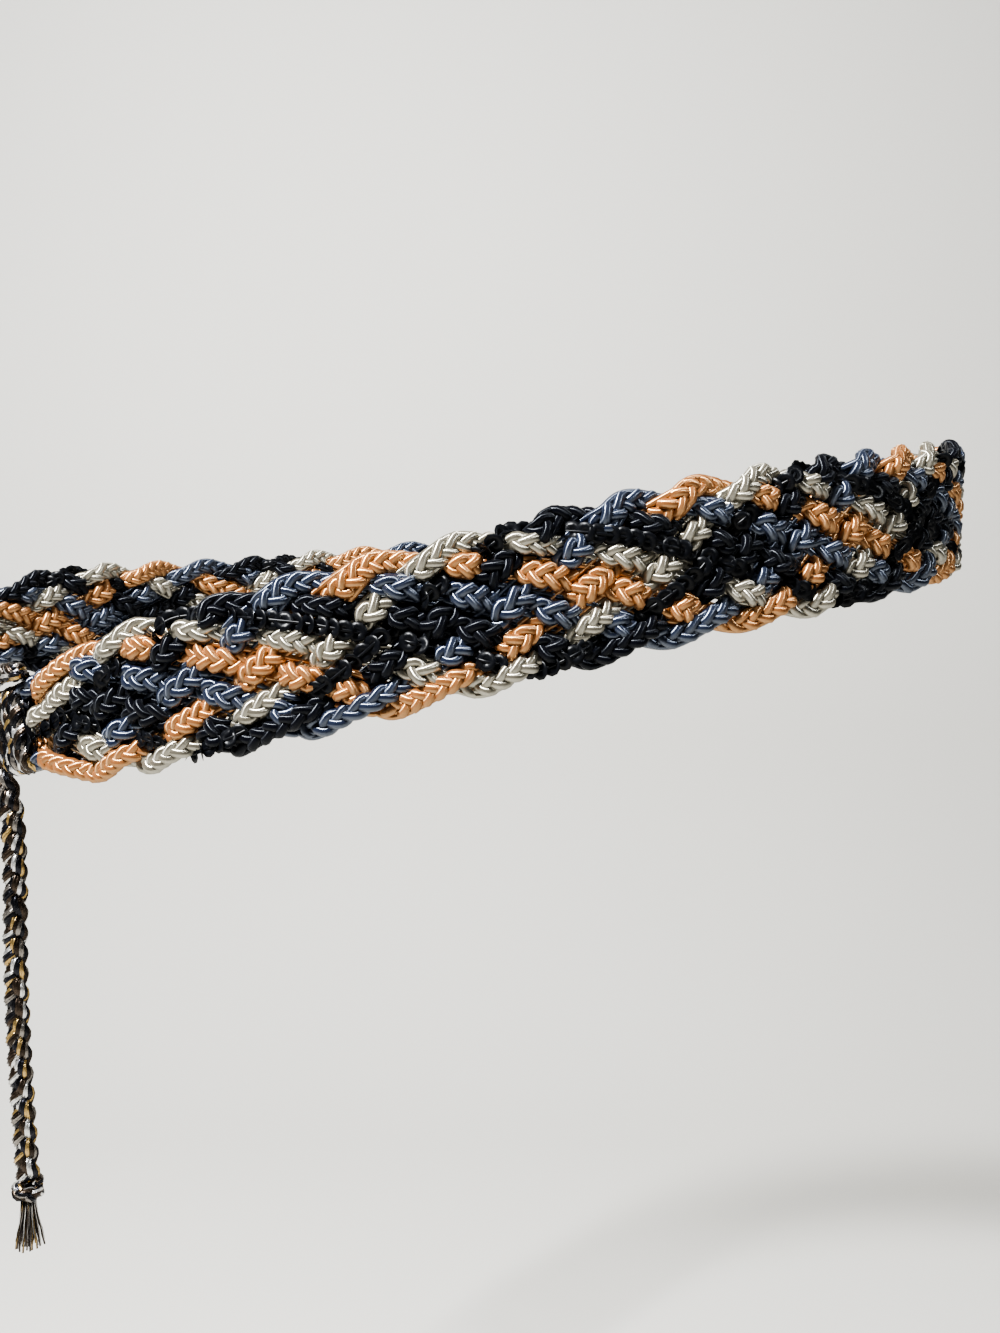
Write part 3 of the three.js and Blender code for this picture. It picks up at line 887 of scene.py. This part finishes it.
class BeltColourSettings(bpy.types.PropertyGroup):
    ivory: colour_setting("Ivory", (0.082, 0.073, 0.056), "The ivory satin cord")
    peach: colour_setting("Peach", (0.19, 0.075, 0.027), "The peach satin cord")
    navy: colour_setting("Navy", (0.0085, 0.0115, 0.023), "The navy satin cord")
    black: colour_setting("Black", (0.0022, 0.0023, 0.0038), "The black satin cord")
    floor: colour_setting("Floor", (0.6, 0.585, 0.545), "The floor and the wall behind")


class BeltStageSettings(bpy.types.PropertyGroup):
    floor_drop: length_setting("Floor Drop", 0.62, "How far the floor is below the belt's middle")
    wall_distance: length_setting("Wall Distance", 1.1, "How far the wall is behind the belt's middle")
    key_power: power_setting("Key Light", 104.0, "Power of the light from the upper left")
    fill_power: power_setting("Fill Light", 7.0, "Power of the light from the right")
    wall_power: power_setting("Wall Light", 6.0, "Power of the light on the wall")
    sky: bpy.props.FloatProperty(name="Sky", default=0.08, min=0.0, description="Strength of the even light")


# The strands

def strand_line(order, settings, ply_length):
    """One strand's middle line through the plait, with what its braid needs at each point."""
    near = [s for s in strand_stations(order) if -LINE_MARGIN < s[0] < BELT_LENGTH + LINE_MARGIN]
    chevron = [-1.0 if s[4] in CHEVRONS_TURNED else 1.0 for s in near]
    fine = spline_through([s[:4] for s in near], LINE_STEPS)
    stations_passed = np.arange(len(fine)) / LINE_STEPS
    chevron = np.interp(stations_passed, np.arange(len(near)) + 0.5, chevron)
    inside = (fine[:, 0] > -INTO_BINDING) & (fine[:, 0] < BELT_LENGTH + INTO_BINDING)
    along, level, layer, room = fine[inside].T
    up = level * narrowing(along) + wander(along, order, WANDER_ACROSS)
    edge = (np.abs(level) / HALF_HEIGHT - INNER_FLAT_TO) / (INNER_BRAIDED_FROM - INNER_FLAT_TO)
    edge = np.clip(edge, 0, 1)
    points = on_belt(along, up, LAYER * layer)
    flat_points = on_belt(along, up, LAYER * layer * edge)
    facts = np.column_stack([along, room, chevron[inside], edge])
    at, points, flat_points, facts = even_steps(points, settings.step, flat_points, facts)
    along, room, chevron, edge = facts.T
    _, _, _, out = belt_frame(along)
    flat_side, flat_out = directions_along(flat_points, out)
    side, out = directions_along(points, out)
    side, out = turned_about(side, out, wander(at, order, WANDER_TURNED))
    turns = np.cumsum((1 + wander(at, order, WANDER_IN_LENGTH)) * np.gradient(at)) / ply_length
    room = room * narrowing(along)
    spread = room / EDGE_ROOM * (1 + wander(at, order, WANDER_IN_WIDTH))
    spread = np.clip(spread, NARROWEST, WIDEST)
    reach = (INNER_REACH + (INNER_EDGE_REACH - INNER_REACH) * edge) * room - INNER_RADIUS
    ones = np.ones(len(at))
    outer = {"side": side, "out": out, "swing": TURN * turns, "pinch": spread, "girth": spread,
             "chevron": chevron}
    inner = {"side": flat_side, "out": flat_out, "swing": 0 * ones, "pinch": reach / settings.half_width,
             "girth": ones, "chevron": ones}
    return (points, outer), (flat_points, inner)


class BELT_OT_cord_strands(bpy.types.Operator):
    """Makes the eight strands of satin cord braid."""
    bl_idname = "belt.cord_strands"
    bl_label = "Cord Strands"

    def execute(self, context):
        settings = context.scene.belt_plait
        colours = context.scene.belt_colours
        # Each cord's colour, its darkest shade, the tint of its shine, and its gloss
        looks = {
            "ivory": (colours.ivory, 0.65, (1.0, 0.95, 0.8), 1.0),
            "peach": (colours.peach, 0.65, (1.0, 0.6, 0.3), 1.0),
            "navy": (colours.navy, 0.6, (0.76, 0.85, 1.0), 0.34),
            "black": (colours.black, 0.5, (0.86, 0.92, 1.0), 0.045),
        }
        materials = {
            name: satin_material(f"{name.title()} Satin Cord", tuple(look[0]), *look[1:])
            for name, look in looks.items()
        }
        tree = tree_named("Plait Along Line", plait_tree)
        for order in range(STRAND_COUNT):
            name = STRAND_STEPS[order % len(STRAND_STEPS)][0]
            if name == "sequin":
                continue
            number = order // len(STRAND_STEPS) + 1
            both = strand_line(order, settings, settings.ply_length * PLY_LENGTH_SHARES[name])
            values = {
                "Plies": 3,
                "Half Width": settings.half_width,
                "Half Depth": settings.half_depth,
                "Cord Radius": settings.cord_radius,
                "Cord Sides": CORD_SIDES,
                "Material": materials[name],
            }
            inner_values = {
                **values,
                "Plies": INNER_CORDS,
                "Half Depth": INNER_DEPTH,
                "Cord Radius": INNER_RADIUS,
                "Cord Sides": INNER_SIDES,
            }
            braids = []
            for (points, carried), given in zip(both, (values, inner_values)):
                line = line_object(f"{name}_line", points, **carried)
                braids.append(made_mesh(line, tree, given, f"{name}_braid_{number}"))
            piece = joined_piece(braids, f"{name}_braid_{number}")
            settle(piece, f"strand_{name}_{number}")
        return {"FINISHED"}


# Half a sequin's section, from its hole to its rim, and its thickness, as shares of its radius
SEQUIN_SECTION = ((0.11, 0.0), (0.55, 0.0), (1.0, 0.09))
SEQUIN_THICKNESS = 0.04
SEQUIN_SIDES = 10

# The sequins' string: how far it lies out from the strand's middle line, the most that a sequin
# turns out of line, in radians, and half the thread's thickness
SEQUIN_LIFT = 0.8 * MM
SEQUIN_UNEVENNESS = 0.34
THREAD_RADIUS = 0.6 * MM


def sequin_object(radius):
    """One cupped sequin with a hole in its middle, of a few flat facets."""
    section = [(share, height + SEQUIN_THICKNESS) for share, height in SEQUIN_SECTION]
    section += reversed(SEQUIN_SECTION)
    angles = [TURN * i / SEQUIN_SIDES for i in range(SEQUIN_SIDES)]
    rings = [[(radius * share * math.cos(a), radius * share * math.sin(a), radius * height) for a in angles]
             for share, height in section]
    return ring_solid("Sequin", rings, caps=False)


class BELT_OT_sequin_strands(bpy.types.Operator):
    """Makes the two strings of sequins."""
    bl_idname = "belt.sequin_strands"
    bl_label = "Sequin Strands"

    def execute(self, context):
        settings = context.scene.belt_sequins
        material = sequin_material()
        sequin = sequin_object(settings.radius)
        tree = tree_named("Sequins Along Line", sequin_tree)
        for number in range(1, SETS + 1):
            order = 1 + (number - 1) * len(STRAND_STEPS)
            plait = context.scene.belt_plait
            (points, _), (_, flat) = strand_line(order, plait, plait.ply_length)
            points = points + SEQUIN_LIFT * flat["out"]
            line = line_object("sequin_line", points, out=flat["out"])
            values = {
                "Sequin": sequin,
                "Spacing": settings.spacing,
                "Lean": settings.lean,
                "Unevenness": SEQUIN_UNEVENNESS,
                "Thread Radius": THREAD_RADIUS,
                "Seed": settings.seed + number,
                "Material": material,
            }
            piece = made_mesh(line, tree, values, f"sequin_string_{number}")
            settle(piece, f"sequin_strand_{number}")
        bpy.data.objects.remove(sequin)
        return {"FINISHED"}


# The bindings and the ties

def metallic():
    """The metallic braid's material, made the first time it is asked for."""
    return bpy.data.materials.get("Metallic Braid") or metallic_material()


def tie_braid(name, points, out, settings, size=1.0):
    """A metallic braid along a line that has a way out at each point."""
    at, points, out = even_steps(points, TIE_STEP, out)
    side, out = directions_along(points, unit(out))
    swing = TURN * at / (settings.ply_length * size)
    ones = np.ones(len(at))
    line = line_object(
        f"{name}_line", points, side=side, out=out, swing=swing, pinch=ones, girth=ones, chevron=ones)
    values = {
        "Plies": 3,
        "Half Width": settings.half_width * size,
        "Half Depth": settings.half_depth * size,
        "Cord Radius": settings.ply_radius * size,
        "Cord Sides": 3 * settings.yarns,
        "Yarns": float(settings.yarns),
        "Yarn Depth": YARN_DEPTH,
        "Yarn Twist": YARN_TWIST,
        "Material": metallic(),
    }
    return made_mesh(line, tree_named("Plait Along Line", plait_tree), values, name)


def binding_path(from_along, direction):
    """The turns of braid round one end of the belt, and their way out."""
    turns = np.arange(BINDING_TURNS * TURN_STEPS + 1) / TURN_STEPS
    widths = 0.5 + (BINDING_TURNS - 1) * turns / BINDING_TURNS
    along = from_along + direction * (BINDING_START + TURN_WIDTH * widths)
    angle = TURN * (turns + 0.25)
    straight = BINDING_HALF_HEIGHT - BINDING_HALF_THICKNESS
    across = np.sin(angle)
    up = straight * np.clip(TURN_SQUARENESS * across, -1, 1) + BINDING_HALF_THICKNESS * across
    out = BINDING_HALF_THICKNESS * np.cos(angle)
    _, _, up_way, out_way = belt_frame(along)
    outwards = EDGE_LEAN * across[:, None] * up_way + np.cos(angle)[:, None] * out_way
    return on_belt(along, up, out), unit(outwards)


def binding_core(from_along, direction):
    """The strands' ends under the turns, closed off at the end of the belt."""
    length = BINDING_TURNS * TURN_WIDTH
    angles = TURN * np.arange(CORE_SIDES) / CORE_SIDES
    rings = []
    for share, size in CORE_RINGS:
        up = CORE_HALF_HEIGHT * size * np.sin(angles)
        out = CORE_HALF_THICKNESS * size * np.cos(angles)
        rings.append(on_belt(np.full(CORE_SIDES, from_along + direction * share * length), up, out))
    return ring_solid("binding_core", rings, metallic())


class BELT_OT_bindings(bpy.types.Operator):
    """Winds the metallic braid round both ends of the belt."""
    bl_idname = "belt.bindings"
    bl_label = "Bindings"

    def execute(self, context):
        settings = context.scene.belt_tie
        for name, from_along, direction in (("front", 0.0, -1), ("back", BELT_LENGTH, 1)):
            points, out = binding_path(from_along, direction)
            wound = tie_braid(f"binding_{name}_turns", points, out, settings, BINDING_SIZE)
            core = binding_core(from_along, direction)
            piece = joined_piece([wound, core], f"binding_{name}_turns")
            settle(piece, f"binding_{name}")
        return {"FINISHED"}


class BELT_OT_leads(bpy.types.Operator):
    """Makes the stretches of tie between the bindings and the knot."""
    bl_idname = "belt.leads"
    bl_label = "Leads"

    def execute(self, context):
        settings = context.scene.belt_tie
        for name, route in (("front", FRONT_LEAD), ("back", BACK_LEAD)):
            into_knot = route[-1] + 0.5 * (KNOT_CENTRE - route[-1])
            points = spline_through(np.vstack([route, into_knot]), ROUTE_STEPS)
            _, out = carried_directions(points, (0, -1, 0))
            piece = tie_braid(f"tie_{name}_braid", points, out, settings, LEAD_SIZE)
            settle(piece, f"tie_{name}_lead")
        return {"FINISHED"}


class BELT_OT_knot(bpy.types.Operator):
    """Ties the knot: the braid passes round and through itself in three lobes."""
    bl_idname = "belt.knot"
    bl_label = "Knot"

    def execute(self, context):
        settings = context.scene.belt_tie
        t = np.linspace(0, TURN, KNOT_POINTS)
        shape = KNOT_LOBE * np.column_stack([
            np.sin(t) + 2 * np.sin(2 * t),
            -1.25 * np.sin(3 * t),
            1.1 * (np.cos(t) - 2 * np.cos(2 * t)),
        ])
        points = KNOT_CENTRE + shape
        out = unit(shape + 1e-6) + np.array([0, -0.2, 0])
        piece = tie_braid("tie_knot_braid", points, out, settings, KNOT_SIZE)
        settle(piece, "tie_knot")
        return {"FINISHED"}


def tail_end_piece(name, route, settings):
    """A tail's end: the braid wound round it once, and the loose yarns as a short brush."""
    up = np.array([0, 0, 1])
    end = route[-1] - END_GAP * up
    turns = np.linspace(0, END_KNOT_TURNS, END_KNOT_POINTS)
    around = np.column_stack([np.cos(TURN * turns), np.sin(TURN * turns), 0 * turns])
    drop = END_KNOT_INSET + END_KNOT_DROP * turns / turns[-1]
    wound = end + (END_KNOT_RADIUS - END_KNOT_INSET) * around - drop[:, None] * up
    yarns = [tie_braid(f"{name}_knot", wound, around, settings, END_KNOT_SIZE)]
    rng = np.random.default_rng(len(name))
    share = np.linspace(0, 1, YARN_POINTS)[:, None]
    for ring, count, spread in BRUSH_RINGS:
        for i in range(count):
            angle = TURN * (i / count + ring) + rng.uniform(-YARN_OUT_OF_LINE, YARN_OUT_OF_LINE)
            way = np.array([math.cos(angle), math.sin(angle), 0])
            top = end + BRUSH_RADIUS * ring * way - BRUSH_TOP * up
            length = BRUSH_LENGTH * rng.uniform(SHORTEST_YARN, 1.0)
            strand = top + BRUSH_SPREAD * spread * way * share ** 1.5 - length * up * share
            strand = strand + rng.normal(0, YARN_WAVINESS, (YARN_POINTS, 3)) * share
            yarns.append(yarn_tube(strand, i % 3))
    return joined_piece(yarns, name)


def yarn_tube(points, ply):
    """One loose yarn."""
    side, out = carried_directions(points, (0.3, 0.9, 0.1))
    angles = TURN * np.arange(YARN_SIDES) / YARN_SIDES
    rings = [p + YARN_RADIUS * (np.cos(angles)[:, None] * s + np.sin(angles)[:, None] * o)
             for p, s, o in zip(points, side, out)]
    tube = ring_solid("yarn", rings, metallic())
    fibre = [[4 * MM * r + 13 * MM * ply, math.cos(a), math.sin(a)]
             for r in range(len(points)) for a in angles]
    carry(tube.data, "fibre", fibre)
    carry(tube.data, "ply", np.full(len(fibre), ply))
    return tube


class BELT_OT_tails(bpy.types.Operator):
    """Makes the two hanging tails with their knotted ends."""
    bl_idname = "belt.tails"
    bl_label = "Tails"

    def execute(self, context):
        settings = context.scene.belt_tie
        for name, route in (("front", FRONT_TAIL), ("back", BACK_TAIL)):
            line = spline_through(route, ROUTE_STEPS)
            _, out = carried_directions(line, (0, -1, 0.01))
            tail = tie_braid(f"tie_{name}_tail_braid", line, out, settings)
            settle(tail, f"tie_{name}_tail")
            end = tail_end_piece(f"tail_{name}_brush", route, settings)
            settle(end, f"tail_end_{name}")
        return {"FINISHED"}


# The stage

def area_light(name, place, target, size, power, colour):
    """A soft square light that faces a point."""
    data = bpy.data.lights.new(name, "AREA")
    data.shape = "SQUARE"
    data.size = size
    data.energy = power
    data.color = colour
    light = new_object(name, data)
    light.location = place
    light.rotation_euler = (Vector(target) - Vector(place)).to_track_quat("-Z", "Y").to_euler()


def stage_surface(settings, material):
    """A floor that curves up into a wall."""
    half_width = 4.0
    height = 3.2
    front = -2.5
    bend = 0.4
    bend_steps = 12
    back = settings.wall_distance
    floor = -settings.floor_drop
    profile = [(front, floor), (back - bend, floor)]
    for i in range(1, bend_steps + 1):
        angle = 0.5 * math.pi * i / bend_steps
        profile.append((back - bend + bend * math.sin(angle), floor + bend * (1 - math.cos(angle))))
    profile.append((back, floor + height))
    mesh = bpy.data.meshes.new("Stage")
    vertices = [(x, y, z) for y, z in profile for x in (-half_width, half_width)]
    faces = [(2 * i, 2 * i + 1, 2 * i + 3, 2 * i + 2) for i in range(len(profile) - 1)]
    mesh.from_pydata(vertices, [], faces)
    for polygon in mesh.polygons:
        polygon.use_smooth = True
    mesh.materials.append(material)
    new_object("Stage", mesh)


class BELT_OT_stage(bpy.types.Operator):
    """Sets the camera, the floor and the lights."""
    bl_idname = "belt.stage"
    bl_label = "Stage"

    def execute(self, context):
        settings = context.scene.belt_stage
        camera_data = bpy.data.cameras.new("Camera")
        camera_data.sensor_fit = "VERTICAL"
        camera_data.sensor_height = CAMERA_SENSOR
        camera_data.lens = CAMERA_LENS
        camera_data.clip_start = 0.01
        camera = new_object("Camera", camera_data)
        camera.location = CAMERA_PLACE
        camera.rotation_euler = (math.pi / 2 - CAMERA_PITCH_DOWN, 0, 0)
        context.scene.camera = camera
        stage_surface(settings, stage_material("Pale Floor", tuple(context.scene.belt_colours.floor)))
        area_light("Key", (-0.62, -0.62, 0.98), (0, 0, 0), 0.18, settings.key_power, (0.98, 0.99, 1.0))
        area_light("Fill", (0.85, -0.6, 0.6), (0.1, 0, 0), 0.25, settings.fill_power, (0.94, 0.97, 1.0))
        area_light("Wall", (0.0, -0.4, 1.9), (0, 1.1, 0.3), 1.6, settings.wall_power, (1.0, 1.0, 1.0))
        context.scene.view_settings.look = "AgX - Medium High Contrast"
        world = bpy.data.worlds.new("Even Light")
        context.scene.world = world
        world.use_nodes = True
        background = world.node_tree.nodes["Background"].inputs
        background["Color"].default_value = (0.9, 0.95, 1.0, 1)
        background["Strength"].default_value = settings.sky
        return {"FINISHED"}


class BELT_PT_sidebar(bpy.types.Panel):
    """Lists the belt's sizes, colours and steps."""
    bl_label = "Braided Cord Belt"
    bl_idname = "BELT_PT_sidebar"
    bl_space_type = "VIEW_3D"
    bl_region_type = "UI"
    bl_category = "Belt"

    def draw(self, context):
        layout = self.layout
        for group, (title, kind) in SETTING_GROUPS.items():
            box = layout.box()
            box.label(text=title)
            for key in kind.__annotations__:
                box.prop(getattr(context.scene, group), key)
        for operator in OPERATORS:
            layout.operator(operator.bl_idname)


SETTING_GROUPS = {
    "belt_plait": ("Plait", BeltPlaitSettings),
    "belt_sequins": ("Sequins", BeltSequinSettings),
    "belt_tie": ("Tie", BeltTieSettings),
    "belt_colours": ("Colours", BeltColourSettings),
    "belt_stage": ("Stage", BeltStageSettings),
}
OPERATORS = (
    BELT_OT_stage,
    BELT_OT_tails,
    BELT_OT_cord_strands,
    BELT_OT_sequin_strands,
    BELT_OT_bindings,
    BELT_OT_leads,
    BELT_OT_knot,
)


def register():
    for group, (_, kind) in SETTING_GROUPS.items():
        bpy.utils.register_class(kind)
        setattr(bpy.types.Scene, group, bpy.props.PointerProperty(type=kind))
    for operator in OPERATORS:
        bpy.utils.register_class(operator)
    bpy.utils.register_class(BELT_PT_sidebar)


def unregister():
    bpy.utils.unregister_class(BELT_PT_sidebar)
    for operator in reversed(OPERATORS):
        bpy.utils.unregister_class(operator)
    for group, (_, kind) in reversed(SETTING_GROUPS.items()):
        delattr(bpy.types.Scene, group)
        bpy.utils.unregister_class(kind)


def main():
    register()
    bpy.ops.belt.stage()
    bpy.ops.belt.tails()
    bpy.ops.belt.cord_strands()
    bpy.ops.belt.sequin_strands()
    bpy.ops.belt.bindings()
    bpy.ops.belt.leads()
    bpy.ops.belt.knot()


if __name__ == "__main__":
    main()
